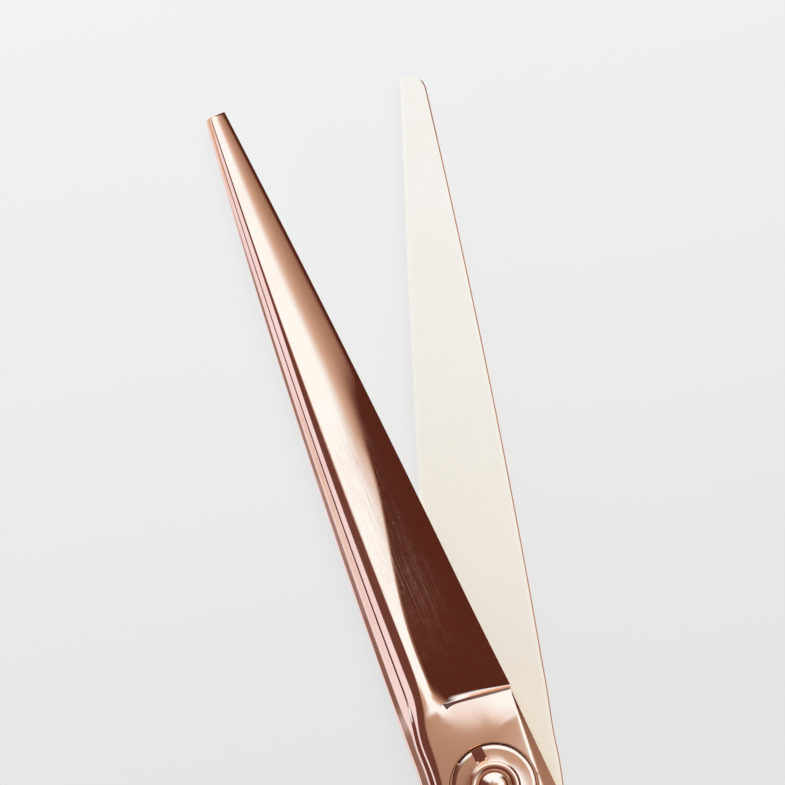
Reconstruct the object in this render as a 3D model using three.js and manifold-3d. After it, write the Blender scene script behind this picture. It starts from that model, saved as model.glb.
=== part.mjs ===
// Hair cutting shears of the six-inch class, with a keyed tension dial, a ball-bearing pivot and offset
// handles.
//
// Units are millimetres, +Z up. The origin is on the pivot axis, at the flat back of the pivot bolt, and +Y
// runs between the two open tips. The shears lie on their back: the thumb half is uppermost and carries the
// dial, and the finger half is underneath and carries the finger rest.
//
// Both halves are drawn in the same half frame: the pivot axis at the origin, +Y along the blade to the tip,
// +X towards the cutting edge, and h, the height above the half's own inner (ride) face. The thumb half
// stands in that frame directly, and the finger half is turned half a turn about its blade, as on the real
// tool.
import * as THREE from "three";
import { mergeVertices } from "three/addons/utils/BufferGeometryUtils.js";
import Module from "manifold-3d";

const wasm = await Module();
wasm.setup();

// ---------------------------------------------------------------- driving dimensions
const TIP_REACH = { thumb: 73.5, finger: 72.3 }; // pivot axis to blade tip
const OPENING = THREE.MathUtils.degToRad(15.7); // angle between the two blades as they lie
const RIDE_FINGER = 3.4; // height of the finger half's inner face
const RIDE_GAP = 0.3; // clearance between the two inner faces
const RIDE_THUMB = RIDE_FINGER + RIDE_GAP;
const BLOCK_THICKNESS = 3.4; // each half at the pivot
const BLOCK_MIDDLE = -0.575; // middle and half width of the block across the half
const BLOCK_HALF_WIDTH = 6.325;
const HEEL = 8.5; // distance from the pivot to the heel of the cutting edge
const RING_HEIGHT = 5.6; // bow section, across the shears' plane
const RING_WIDTH = 3.4; // bow section, in the shears' plane
const THUMB_RING = { x: 14, y: -56, inner: [10.0, 11.0] };
const FINGER_RING = { x: 14, y: -64.3, inner: [10.3, 11.3] };
const RING_STEPS = 36; // facets round each bow
const INSERT_WALL = 1.1;
const INSERT_CLEARANCE = 0.12;
const SEAT_CLEARANCE = 0.08;
const TIP_ROUNDING = { thumb: 0.5, finger: 1.5 }; // radius of the corner between tip and back
const BORE_SEGMENTS = 32;

// Pivot stack, heights above the table (z) and radii.
const BOLT = { headR: 4.0, flat: 3.3, headTop: 1.2, shaftR: 2.0, shaftTop: 6.22, endR: 1.62, endTop: 7.35 };
const KEY = { halfWidth: 1.62, bottom: 5.86 }; // flats on the bolt that hold the click washer
const DIAL = { r: 4.24, bore: 1.82, bottom: 6.3, rim: 6.98, lip: 7.42 };
const DIAL_SLOT = { width: 1.2, floor: 6.72, inner: 2.6, turn: 11.4 }; // turn is in degrees from +Y
const DIAL_INDEX = { width: 0.26, proud: 0.14, turn: 43.4 };
const DIAL_SEAT = { r: 4.48, floor: 4.92 };
const CLICK_WASHER = { r: 4.2, bottom: 5.9, top: 6.12, pipR: 0.35, pipHeight: 0.14, pipPitch: 3.2 };
const WAVE = { inner: 2.2, outer: 3.95, thickness: 0.16, swing: 0.13, middle: 5.62, count: 3, steps: 30 };
const BUSH = { inner: 2.08, outer: 2.62, flangeR: 3.9, flange: 0.35, bottom: 4.46 };
const BALL = { r: 0.5, pitch: 3.55, count: 8 };
const CAGE = { inner: 2.5, outer: 4.6, thickness: 0.5, pocketR: 0.58 };
const RACE = { inner: 2.35, outer: 4.7, thickness: 0.25 };
const RACE_SEAT_R = 4.85;
const BALL_PLANE = RIDE_FINGER + RIDE_GAP / 2;
const RACE_LIFT = BALL.r + 0.03; // ball plane to the face of each race

// Fittings on the handles. Angles are in degrees in the half frame.
const GROOVE = { depth: 0.55, halfHeight: 0.95 }; // round the inside of a bow, for the insert's rib
const BUMPER = {
  y: -41, h: 0.75, r: 1.9, stemR: 1.07, lipR: 0.75, holeR: 1.15, seat: 3.4, face: 1.38, reach: 1.7,
};
const REST = {
  angle: -75, bossR: 2.5, bossEnd: 1.3, studR: 1.2, bend: 13, sweep: 85, rootR: 2.4, noseR: 1.55,
};

// ---------------------------------------------------------------- small helpers
const lerp = THREE.MathUtils.lerp;
const smooth = (low, high, v) => THREE.MathUtils.smoothstep(v, low, high);

// Value at a place in a table of [place, value] pairs, on a smooth curve that never swings past the values.
function along(table, place) {
  const slopeFrom = (i) => (table[i + 1][1] - table[i][1]) / (table[i + 1][0] - table[i][0]);
  const last = table.length - 1;
  const slopeAt = (i) => {
    if (i === 0) return slopeFrom(0);
    if (i === last) return slopeFrom(last - 1);
    const [before, after] = [slopeFrom(i - 1), slopeFrom(i)];
    return before * after > 0 ? (2 * before * after) / (before + after) : 0;
  };
  for (let i = 0; i < last; i += 1) {
    const [[a, from], [b, to]] = [table[i], table[i + 1]];
    if ((place - a) * (place - b) > 0) continue;
    const t = (place - a) / (b - a);
    const [t2, t3] = [t * t, t * t * t];
    return (2 * t3 - 3 * t2 + 1) * from + (t3 - 2 * t2 + t) * (b - a) * slopeAt(i)
      + (3 * t2 - 2 * t3) * to + (t3 - t2) * (b - a) * slopeAt(i + 1);
  }
  return Math.abs(place - table[0][0]) < Math.abs(place - table[last][0]) ? table[0][1] : table[last][1];
}

// A closed three.js geometry as a solid, turned the right way out.
function solid(geometry) {
  const bare = geometry.index ? geometry.toNonIndexed() : geometry.clone();
  bare.deleteAttribute("normal");
  bare.deleteAttribute("uv");
  const merged = mergeVertices(bare, 1e-4);
  const build = (order) => new wasm.Manifold(new wasm.Mesh({
    numProp: 3,
    vertProperties: merged.attributes.position.array,
    triVerts: order,
  }));
  const triangles = new Uint32Array(merged.index.array);
  const made = build(triangles);
  return made.volume() > 0 ? made : build(triangles.reverse());
}

// A solid as a three.js geometry.
function geometryOf(made) {
  const mesh = made.getMesh();
  const geometry = new THREE.BufferGeometry();
  geometry.setAttribute("position", new THREE.BufferAttribute(mesh.vertProperties, 3));
  geometry.setIndex(new THREE.BufferAttribute(mesh.triVerts, 1));
  geometry.computeVertexNormals();
  return geometry;
}

// Skins equal rows of points. An open loft is closed by a fan at each end; a ring of rows closes on itself.
function loft(rows, { ring = false } = {}) {
  const width = rows[0].length;
  const vertices = rows.flat().flatMap((p) => [p.x, p.y, p.z]);
  const faces = [];
  const last = ring ? rows.length : rows.length - 1;
  for (let i = 0; i < last; i += 1) {
    const next = (i + 1) % rows.length;
    for (let j = 0; j < width; j += 1) {
      const k = (j + 1) % width;
      faces.push(i * width + j, next * width + j, next * width + k);
      faces.push(i * width + j, next * width + k, i * width + k);
    }
  }
  if (!ring) {
    [0, rows.length - 1].forEach((row, end) => {
      const centre = rows[row].reduce((sum, p) => sum.add(p), new THREE.Vector3()).divideScalar(width);
      const hub = vertices.length / 3;
      vertices.push(centre.x, centre.y, centre.z);
      for (let j = 0; j < width; j += 1) {
        const a = row * width + j;
        const b = row * width + ((j + 1) % width);
        faces.push(...(end === 0 ? [hub, a, b] : [hub, b, a]));
      }
    });
  }
  const geometry = new THREE.BufferGeometry();
  geometry.setAttribute("position", new THREE.Float32BufferAttribute(vertices, 3));
  geometry.setIndex(faces);
  return geometry;
}

// A solid of revolution about Z from [radius, z] pairs.
function turned(profile, segments = BORE_SEGMENTS) {
  const points = [...profile, profile[0]].map(([r, z]) => new THREE.Vector2(r, z));
  const geometry = new THREE.LatheGeometry(points, segments);
  return solid(geometry.rotateX(Math.PI / 2));
}

const disc = (r, low, high) => turned([[0, low], [r, low], [r, high], [0, high]]);
const washer = (inner, outer, low, high) => turned([
  [inner, low], [outer, low], [outer, high], [inner, high],
]);

// A box between two corners.
function block(low, high) {
  const size = high.map((v, i) => v - low[i]);
  const middle = high.map((v, i) => (v + low[i]) / 2);
  return solid(new THREE.BoxGeometry(...size).translate(...middle));
}

// Sweeps a section of [outward, height] pairs round an ellipse in the XY plane.
function ellipseSweep({ x, y, radii, height, section, steps }) {
  const rows = Array.from({ length: steps }, (_, i) => {
    const angle = (i / steps) * 2 * Math.PI;
    const normal = new THREE.Vector2(Math.cos(angle) / radii[0], Math.sin(angle) / radii[1]).normalize();
    return section.map(([out, up]) => new THREE.Vector3(
      x + radii[0] * Math.cos(angle) + out * normal.x,
      y + radii[1] * Math.sin(angle) + out * normal.y,
      height + up,
    ));
  });
  return solid(loft(rows, { ring: true }));
}

const ovalSection = (halfWidth, halfHeight, sides) => Array.from({ length: sides }, (_, i) => {
  const a = (i / sides) * 2 * Math.PI;
  return [halfWidth * Math.cos(a), halfHeight * Math.sin(a)];
});

// ---------------------------------------------------------------- blade, pivot block and shank
// Plan of the blade: the back and the cutting edge are two shallow parabolas about mid-blade.
const backX = (y) => -(4.55 - 0.0808 * (y - 40) - 0.000528 * (y - 40) ** 2);
const edgeX = (y) => 3.42 - 0.0667 * (y - 40) - 0.0003 * (y - 40) ** 2;
const ridgeHeight = (y, reach) => 1.0 + 0.0375 * (reach - y);
// Width of the bevels between back and ridge.
const bevelZone = (y, reach) => 0.72 + 0.043 * (reach - 2.4 - y);

// The corner between the tip and the back is a quarter round.
function roundedBackX(y, { reach, rounding }) {
  const start = reach - rounding;
  if (y <= start) return backX(y);
  const rise = Math.min(1, (y - start) / rounding);
  return backX(start) + rounding * 0.75 * (1 - Math.sqrt(1 - rise * rise));
}

// Share of the bevel zone and of the ridge height at each line of the back: outer bevel, groove, inner
// bevel.
const BACK_LINES = [[0.25, 0.46], [0.54, 0.75], [0.58, 0.77], [0.76, 0.905]];
const BLOCK_BACK = [[-6.3, 1.5], [-5.9, 1.85], [-5.75, 1.95], [-5.5, 2.4]];
const FACE = [0.16, 0.36, 0.58, 0.8, 0.92, 1]; // places between ridge and cutting edge
const FACE_FLAT = 0.8; // the block's flat top ends at this place
const BLOCK_LEFT = -4.9;
const BLOCK_TOP_RIGHT = 4.1;
const EDGE_HEIGHT = 0.12;

// Height of the blade's outer face: nearly flat by the ridge and steeper towards the edge.
function faceHeight(t, y, reach) {
  const ridge = ridgeHeight(y, reach);
  const belly = lerp(0.28, 0.08, smooth(12, 30, y)); // share of the drop that comes late
  return EDGE_HEIGHT + (ridge - EDGE_HEIGHT) * (1 - (1 - belly) * t - belly * t * t);
}

// The blade's section at y, as [x, h] pairs from the inner corner of the back, over the ridge, to the edge.
function bladeSection(y, half) {
  const back = roundedBackX(y, half);
  const zone = Math.min(bevelZone(y, half.reach), 0.45 * (edgeX(y) - back));
  const ridge = back + zone;
  const height = ridgeHeight(y, half.reach);
  return [
    [back + 0.25, 0],
    [back, 0.12 * height],
    ...BACK_LINES.map(([across, up]) => [back + across * zone, up * height]),
    [ridge, height],
    ...FACE.map((t) => [lerp(ridge, edgeX(y), t), faceHeight(t, y, half.reach)]),
    [edgeX(y), 0],
  ];
}

// The pivot block's section: bevels on the back, a flat top, and two bevels down to the edge side.
function blockSection() {
  const top = BLOCK_THICKNESS;
  return [
    [-6.6, 0],
    [-6.9, 0.4],
    ...BLOCK_BACK,
    [BLOCK_LEFT, top],
    ...FACE.filter((t) => t <= FACE_FLAT)
      .map((t) => [lerp(BLOCK_LEFT, BLOCK_TOP_RIGHT, t / FACE_FLAT), top]),
    [5.1, top - 0.5],
    [5.75, 1.1],
    [5.75, 0],
  ];
}

// A closed row of points at one place along the half: the section, then two points along the inner face.
function closedRow(pairs, yAt) {
  const [first, last] = [pairs[0], pairs.at(-1)];
  const under = [1 / 3, 2 / 3].map((t) => [lerp(last[0], first[0], t), 0]);
  return [...pairs, ...under].map(([x, h], i) => new THREE.Vector3(x, yAt(i), h));
}

// Rows of the plunge between blade and block. Its line runs nearer the pivot on the cutting edge's side, and
// a steep step with a crease stands between the blade's scoop and the shoulder of the block.
const PLUNGE = [0, 0.25, 0.55, 0.66, 0.8, 1];
function plungeRise(q) {
  if (q < 0.55) return 0.4 * (q / 0.55) ** 2;
  if (q < 0.66) return lerp(0.4, 0.82, (q - 0.55) / 0.11);
  return 0.82 + 0.18 * Math.sin(((q - 0.66) / 0.34) * Math.PI / 2);
}

function plungeRow(q, half) {
  const blockPairs = blockSection();
  const ridgeIndex = 2 + BACK_LINES.length;
  const places = blockPairs.map((_, i) => {
    const t = THREE.MathUtils.clamp((i - ridgeIndex) / FACE.length, 0, 1);
    const start = lerp(12.6, 10.2, Math.sqrt(t));
    const end = lerp(6.6, HEEL - 1.2, t);
    return lerp(start, end, q);
  });
  const pairs = blockPairs.map(([x, h], i) => {
    const [bladeX, bladeH] = bladeSection(places[i], half)[i];
    const rise = i > ridgeIndex ? plungeRise(q) : smooth(0, 1, q);
    return [lerp(bladeX, x, smooth(0.3, 1, q)), lerp(bladeH, h, rise)];
  });
  return closedRow(pairs, (i) => places[i] ?? places[0]);
}

// The block's section worked over to an oval as it leaves the block.
function shankRow(y, plan) {
  const x = along(plan.x, y);
  const halfWidth = along(plan.halfWidth, y);
  const halfHeight = along(plan.halfHeight, y);
  const h = along(plan.h, y);
  const toOval = smooth(-8, -22, y);
  return closedRow(blockSection(), () => y).map((p) => {
    const across = (p.x - BLOCK_MIDDLE) / BLOCK_HALF_WIDTH;
    const up = (2 * p.z) / BLOCK_THICKNESS - 1;
    const angle = Math.atan2(up, across);
    const boxed = [x + across * halfWidth, h + up * halfHeight];
    const oval = [x + Math.cos(angle) * halfWidth, h + Math.sin(angle) * halfHeight];
    return new THREE.Vector3(lerp(boxed[0], oval[0], toOval), y, lerp(boxed[1], oval[1], toOval));
  });
}

// Course of a shank from the block to the place where the bow takes over.
function shankPlan(ring, ringHeight) {
  const join = ring.y + 0.5 * (ring.inner[1] + RING_WIDTH / 2);
  const joinX = ring.x - Math.cos(Math.PI / 6) * (ring.inner[0] + RING_WIDTH / 2);
  const neck = join + 7;
  const middle = BLOCK_THICKNESS / 2;
  return {
    join,
    x: [[4, BLOCK_MIDDLE], [-3, -0.54], [-9, -0.15], [-15, 0.85], [-21, 2.1], [-28, 3.25], [-34, 3.65],
      [neck, joinX], [join, joinX]],
    halfWidth: [[4, BLOCK_HALF_WIDTH], [-3, 6.27], [-9, 5.75], [-15, 4.65], [-21, 3.5], [-28, 2.7],
      [-34, 2.4], [neck, 2.05], [join, 1.6]],
    halfHeight: [[0, middle], [-26, middle], [-33, 2.15], [neck, 2.6], [join, 2.6]],
    h: [[0, middle], [-26, middle], [-33, lerp(middle, ringHeight, 0.42)], [neck, ringHeight],
      [join, ringHeight]],
  };
}

// Blade, block, shank and bow of one half as one forging, before any hole is made.
function forging(half) {
  const { reach, ring, ringHeight } = half;
  const plan = shankPlan(ring, ringHeight);
  const bladeRows = [0, 0.2, 0.6, 1.5, 4, 10, 18, 27, 36, 45, 53]
    .map((back) => reach - back)
    .map((y) => closedRow(bladeSection(y, half), () => y));
  const plungeRows = PLUNGE.map((q) => plungeRow(q, half));
  const shankStops = [3, -3, -7, -11, -15, -19, -23, -27, -31, -35, -40, -45, -51];
  const shankRows = [...shankStops.filter((y) => y > plan.join + 1.5), plan.join]
    .map((y) => shankRow(y, plan));
  const bar = solid(loft([...bladeRows, ...plungeRows, ...shankRows]));
  const bow = ellipseSweep({
    x: ring.x,
    y: ring.y,
    radii: ring.inner.map((r) => r + RING_WIDTH / 2),
    height: ringHeight,
    section: ovalSection(RING_WIDTH / 2, RING_HEIGHT / 2, 12),
    steps: RING_STEPS,
  });
  return bar.add(bow);
}

// The groove round the inside of a bow that the insert's rib sits in.
function bowGroove(ring, ringHeight) {
  return ellipseSweep({
    x: ring.x,
    y: ring.y,
    radii: ring.inner,
    height: ringHeight,
    section: [[-1, -GROOVE.halfHeight], [GROOVE.depth, -GROOVE.halfHeight],
      [GROOVE.depth, GROOVE.halfHeight], [-1, GROOVE.halfHeight]],
    steps: RING_STEPS,
  });
}

// ---------------------------------------------------------------- soft inserts
function ringInsert(ring, ringHeight) {
  const out = -INSERT_CLEARANCE;
  const rib = GROOVE.depth - INSERT_CLEARANCE;
  const ribHalf = GROOVE.halfHeight - INSERT_CLEARANCE;
  const half = RING_HEIGHT / 2 - 0.35;
  const wall = -INSERT_CLEARANCE - INSERT_WALL;
  return ellipseSweep({
    x: ring.x,
    y: ring.y,
    radii: ring.inner,
    height: ringHeight,
    section: [[wall + 0.35, -half], [out - 0.2, -half], [out, -half + 0.3], [out, -ribHalf],
      [rib, -ribHalf], [rib, ribHalf], [out, ribHalf], [out, half - 0.3], [out - 0.2, half],
      [wall + 0.35, half], [wall, half - 0.7], [wall, -half + 0.7]],
    steps: RING_STEPS,
  });
}

// ---------------------------------------------------------------- pivot
// Heights here are above the table, so the pivot's own pieces are placed without moving them.
const boltHeadShape = (r, flat, low, high) => disc(r, low, high).intersect(
  block([-flat, -r - 1, low - 1], [flat, r + 1, high + 1]),
);

function pivotBolt() {
  const { headTop, shaftR, shaftTop, endR, endTop } = BOLT;
  const shaft = turned([
    [0, headTop - 0.2], [shaftR, headTop - 0.2], [shaftR, shaftTop - 0.1], [endR, shaftTop],
    [endR, endTop - 0.5], [endR * 0.9, endTop - 0.24], [endR * 0.6, endTop - 0.06], [0, endTop],
  ]);
  const flats = [-1, 1].map((side) => block(
    [side > 0 ? KEY.halfWidth : -4, -4, KEY.bottom],
    [side > 0 ? 4 : -KEY.halfWidth, 4, shaftTop + 0.2],
  ));
  return boltHeadShape(BOLT.headR, BOLT.flat, 0, headTop).add(shaft).subtract(flats[0]).subtract(flats[1]);
}

function tensionDial() {
  const { r, bore, bottom, rim, lip } = DIAL;
  const ring = turned([
    [bore, bottom], [r, bottom], [r, rim - 0.1], [r - 0.1, rim], [2.75, rim + 0.2], [2.5, lip - 0.03],
    [2.3, lip], [1.95, lip - 0.02], [bore, lip - 0.15],
  ], 40);
  const slots = [0, 180].map((turn) => block(
    [-DIAL_SLOT.width / 2, DIAL_SLOT.inner, DIAL_SLOT.floor],
    [DIAL_SLOT.width / 2, r + 1, lip + 1],
  ).rotate([0, 0, DIAL_SLOT.turn + turn]));
  const index = block(
    [-DIAL_INDEX.width / 2, r - 0.2, bottom + 0.1],
    [DIAL_INDEX.width / 2, r + DIAL_INDEX.proud, rim - 0.08],
  ).rotate([0, 0, DIAL_INDEX.turn]);
  return ring.subtract(slots[0]).subtract(slots[1]).add(index);
}

// A thin spring washer with three waves.
function waveSpring() {
  const { inner, outer, thickness, swing, middle, count, steps } = WAVE;
  const half = thickness / 2;
  const rows = Array.from({ length: steps }, (_, i) => {
    const angle = (i / steps) * 2 * Math.PI;
    const z = middle + swing * Math.cos(count * angle);
    const at = (r, lift) => new THREE.Vector3(r * Math.cos(angle), r * Math.sin(angle), z + lift);
    return [at(inner, -half), at(outer, -half), at(outer, half), at(inner, half)];
  });
  return solid(loft(rows, { ring: true }));
}

// The click washer under the dial: its bore fits the bolt's flats, and two pips click into the dial.
function clickWasher() {
  const { r, bottom, top, pipR, pipHeight, pipPitch } = CLICK_WASHER;
  const halfKey = KEY.halfWidth + SEAT_CLEARANCE;
  const keyed = disc(BOLT.shaftR + SEAT_CLEARANCE, bottom - 1, top + 1).intersect(
    block([-halfKey, -r, bottom - 2], [halfKey, r, top + 2]),
  );
  const pip = turned([[0, top - 0.05], [pipR, top - 0.05], [0, top + pipHeight]], 12)
    .translate([pipPitch, 0, 0]);
  return disc(r, bottom, top).subtract(keyed).add(pip).add(pip.rotate([0, 0, 180]));
}

// The flanged low-friction bush between bolt and thumb half.
function pivotBush() {
  const { inner, outer, flangeR, flange, bottom } = BUSH;
  const flangeBottom = DIAL_SEAT.floor + 0.05;
  return turned([
    [inner, bottom], [outer, bottom], [outer, flangeBottom], [flangeR, flangeBottom],
    [flangeR, flangeBottom + flange], [inner, flangeBottom + flange],
  ]);
}

const raceAt = (low) => washer(RACE.inner, RACE.outer, low, low + RACE.thickness);

function ballCage() {
  const { inner, outer, thickness, pocketR } = CAGE;
  const ring = washer(inner, outer, BALL_PLANE - thickness / 2, BALL_PLANE + thickness / 2);
  const pocket = turned([
    [0, BALL_PLANE - thickness], [pocketR, BALL_PLANE - thickness],
    [pocketR, BALL_PLANE + thickness], [0, BALL_PLANE + thickness],
  ], 12).translate([BALL.pitch, 0, 0]);
  const turns = Array.from({ length: BALL.count }, (_, i) => (360 * i) / BALL.count);
  return turns.reduce((made, turn) => made.subtract(pocket.rotate([0, 0, turn])), ring);
}

function bearingBall(i) {
  const angle = (2 * Math.PI * i) / BALL.count;
  const ball = new THREE.SphereGeometry(BALL.r, 8, 6);
  return solid(ball.translate(BALL.pitch * Math.cos(angle), BALL.pitch * Math.sin(angle), BALL_PLANE));
}

// ---------------------------------------------------------------- handles' fittings
// A solid of revolution laid with its axis in the half's plane, starting at a point and pointing along an
// angle.
function laid(made, [x, y, h], degrees) {
  return made.rotate([0, 90, 0]).rotate([0, 0, degrees]).translate([x, y, h]);
}

// Bumper between the shanks. It points from the finger half to the thumb half, so away from +X in the half
// frame.
const acrossShank = (made) => laid(made, [0, BUMPER.y, BUMPER.h], 180);
const bumperHole = () => acrossShank(disc(BUMPER.holeR, -BUMPER.seat, 3));

function bumperFerrule() {
  const { stemR, lipR, r, seat, face } = BUMPER;
  return acrossShank(turned([
    [0, -seat + 0.15], [stemR, -seat + 0.15], [stemR, -face], [r, -face], [r, -face + 0.48],
    [lipR, -face + 0.48], [lipR, -face + 0.88], [0, -face + 0.88],
  ], 24));
}

function bumperPad() {
  const { lipR, r, face, reach } = BUMPER;
  const base = -face + 0.53;
  const top = -face + reach + 1.38;
  return acrossShank(turned([
    [lipR + 0.1, base], [r, base], [r, top - 0.75], [r * 0.8, top - 0.2], [0, top], [0, base + 0.5],
    [lipR + 0.1, base + 0.5],
  ], 24));
}

// Where the finger rest is screwed in: the outside of the finger bow, at its lower end.
function restSeat(ringHeight) {
  const heading = THREE.MathUtils.degToRad(REST.angle);
  const [a, b] = FINGER_RING.inner.map((r) => r + RING_WIDTH - 0.2);
  return [FINGER_RING.x + a * Math.cos(heading), FINGER_RING.y + b * Math.sin(heading), ringHeight];
}
const onRestSeat = (made, ringHeight) => laid(made, restSeat(ringHeight), REST.angle);
const restBoss = (ringHeight) => onRestSeat(disc(REST.bossR, -1.2, REST.bossEnd), ringHeight);
const restHole = (ringHeight) => onRestSeat(disc(REST.studR + 0.1, -2.0, REST.bossEnd + 1), ringHeight);

// Finger rest: a hook that bends away from the bow and thins towards its round nose, with a stud at its root.
function fingerRest(ringHeight) {
  const [x, y, h] = restSeat(ringHeight);
  const heading = THREE.MathUtils.degToRad(REST.angle);
  const root = REST.bossEnd + 0.1;
  const at = (share, squeeze) => {
    const turn = heading + THREE.MathUtils.degToRad(REST.sweep) * share;
    const centre = new THREE.Vector3(
      x + root * Math.cos(heading) + REST.bend * (Math.sin(turn) - Math.sin(heading)),
      y + root * Math.sin(heading) - REST.bend * (Math.cos(turn) - Math.cos(heading)),
      h,
    );
    const across = new THREE.Vector3(-Math.sin(turn), Math.cos(turn), 0);
    const r = lerp(REST.rootR, REST.noseR, Math.min(1, share)) * squeeze;
    return ovalSection(r, r, 10).map(([u, w]) => centre.clone().addScaledVector(across, u)
      .add(new THREE.Vector3(0, 0, w)));
  };
  const shaft = Array.from({ length: 11 }, (_, i) => at(i / 10, 1));
  const nose = [[1.05, 0.82], [1.085, 0.5], [1.1, 0.12]].map(([share, squeeze]) => at(share, squeeze));
  const stud = onRestSeat(disc(REST.studR, -1.85, REST.bossEnd + 0.8), ringHeight);
  return solid(loft([...shaft, ...nose])).add(stud);
}

// ---------------------------------------------------------------- the two finished halves
// Holes are drilled in heights above the table, so they are turned into the half frame first.
const intoThumb = (made) => made.translate([0, 0, -RIDE_THUMB]);
const intoFinger = (made) => made.translate([0, 0, -RIDE_FINGER]).rotate([0, 180, 0]);

const THUMB_BOW_H = RING_HEIGHT / 2 - RIDE_THUMB;
const FINGER_BOW_H = RIDE_FINGER - RING_HEIGHT / 2;
const THUMB = {
  reach: TIP_REACH.thumb,
  rounding: TIP_ROUNDING.thumb,
  ring: THUMB_RING,
  ringHeight: THUMB_BOW_H,
};
const FINGER = {
  reach: TIP_REACH.finger,
  rounding: TIP_ROUNDING.finger,
  ring: FINGER_RING,
  ringHeight: FINGER_BOW_H,
};

function thumbHalf() {
  const bearingSeat = disc(RACE_SEAT_R, 0, BALL_PLANE + RACE_LIFT + RACE.thickness + SEAT_CLEARANCE);
  const bore = disc(BUSH.outer + 0.06, 0, 20);
  const dialSeat = disc(DIAL_SEAT.r, DIAL_SEAT.floor, 20);
  return forging(THUMB)
    .subtract(intoThumb(bearingSeat))
    .subtract(intoThumb(bore))
    .subtract(intoThumb(dialSeat))
    .subtract(bowGroove(THUMB_RING, THUMB_BOW_H));
}

function fingerHalf() {
  const bearingSeat = disc(RACE_SEAT_R, BALL_PLANE - RACE_LIFT - RACE.thickness - SEAT_CLEARANCE, 20);
  const bore = disc(BOLT.shaftR + SEAT_CLEARANCE, -20, 20);
  const headSeat = boltHeadShape(
    BOLT.headR + SEAT_CLEARANCE, BOLT.flat + SEAT_CLEARANCE, -20, BOLT.headTop + SEAT_CLEARANCE,
  );
  return forging(FINGER)
    .add(restBoss(FINGER_BOW_H))
    .subtract(intoFinger(bearingSeat))
    .subtract(intoFinger(bore))
    .subtract(intoFinger(headSeat))
    .subtract(bowGroove(FINGER_RING, FINGER_BOW_H))
    .subtract(restHole(FINGER_BOW_H))
    .subtract(bumperHole());
}

// ---------------------------------------------------------------- materials
const finish = (color, roughness, metalness) => (
  new THREE.MeshStandardMaterial({ color, roughness, metalness })
);
const ROSE_GOLD = finish(0xc98f70, 0.12, 1);
const STEEL = finish(0xb9b6b2, 0.3, 1);
const BRONZE = finish(0xa8763c, 0.35, 1);
const POLYMER = finish(0xe9e4da, 0.5, 0);
const RUBBER = finish(0x2b2827, 0.7, 0);

// ---------------------------------------------------------------- assembly
const shears = new THREE.Group();
const thumbFrame = new THREE.Group();
thumbFrame.rotation.z = OPENING / 2;
const fingerFrame = new THREE.Group();
fingerFrame.rotation.z = -OPENING / 2;
shears.add(thumbFrame, fingerFrame);

// Drawn in the half frame: stood on the ride face, the finger half turned over about its blade.
const thumbUp = new THREE.Group();
thumbUp.position.z = RIDE_THUMB;
thumbFrame.add(thumbUp);
const fingerUp = new THREE.Group();
fingerUp.position.z = RIDE_FINGER;
fingerUp.rotation.y = Math.PI;
fingerFrame.add(fingerUp);

function place(parent, name, made, material) {
  const mesh = new THREE.Mesh(geometryOf(made), material);
  mesh.name = name;
  parent.add(mesh);
}

place(thumbUp, "thumb_blade", thumbHalf(), ROSE_GOLD);
place(thumbUp, "thumb_ring_insert", ringInsert(THUMB_RING, THUMB_BOW_H), RUBBER);
place(thumbFrame, "pivot_bush", pivotBush(), POLYMER);
place(thumbFrame, "race_upper", raceAt(BALL_PLANE + RACE_LIFT), STEEL);

place(fingerUp, "finger_blade", fingerHalf(), ROSE_GOLD);
place(fingerUp, "finger_ring_insert", ringInsert(FINGER_RING, FINGER_BOW_H), RUBBER);
place(fingerUp, "finger_rest", fingerRest(FINGER_BOW_H), ROSE_GOLD);
place(fingerUp, "bumper_ferrule", bumperFerrule(), STEEL);
place(fingerUp, "bumper_pad", bumperPad(), RUBBER);
place(fingerFrame, "pivot_bolt", pivotBolt(), ROSE_GOLD);
place(fingerFrame, "race_lower", raceAt(BALL_PLANE - RACE_LIFT - RACE.thickness), STEEL);
place(fingerFrame, "wave_spring", waveSpring(), STEEL);
place(fingerFrame, "click_washer", clickWasher(), BRONZE);
place(shears, "tension_dial", tensionDial(), ROSE_GOLD);

place(shears, "ball_cage", ballCage(), BRONZE);
for (let i = 0; i < BALL.count; i += 1) place(shears, `bearing_ball_${i + 1}`, bearingBall(i), STEEL);

export default shears;
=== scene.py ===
"""Looks of a pair of hair cutting shears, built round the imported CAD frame.

Lengths are millimetres until they reach Blender, which takes metres. Both halves are drawn in one half
frame: the pivot axis at the origin, +Y along the blade to the tip, +X to the cutting edge, and h above the
inner face.
"""

import math

import bmesh
import bpy
from mathutils import Matrix, Vector


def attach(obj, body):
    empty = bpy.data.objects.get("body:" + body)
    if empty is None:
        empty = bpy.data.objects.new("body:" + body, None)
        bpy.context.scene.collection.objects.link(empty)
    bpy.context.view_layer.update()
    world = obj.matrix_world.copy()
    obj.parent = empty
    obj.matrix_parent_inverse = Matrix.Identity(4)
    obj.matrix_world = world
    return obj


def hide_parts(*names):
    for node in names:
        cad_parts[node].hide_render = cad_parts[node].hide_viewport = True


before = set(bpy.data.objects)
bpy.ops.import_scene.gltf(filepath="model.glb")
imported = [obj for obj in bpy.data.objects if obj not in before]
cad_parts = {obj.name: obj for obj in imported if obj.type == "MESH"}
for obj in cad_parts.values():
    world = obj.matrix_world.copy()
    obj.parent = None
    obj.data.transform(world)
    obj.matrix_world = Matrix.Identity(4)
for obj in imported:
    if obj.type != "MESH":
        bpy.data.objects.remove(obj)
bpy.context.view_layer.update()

MM = 0.001
DETAIL = 3

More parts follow.
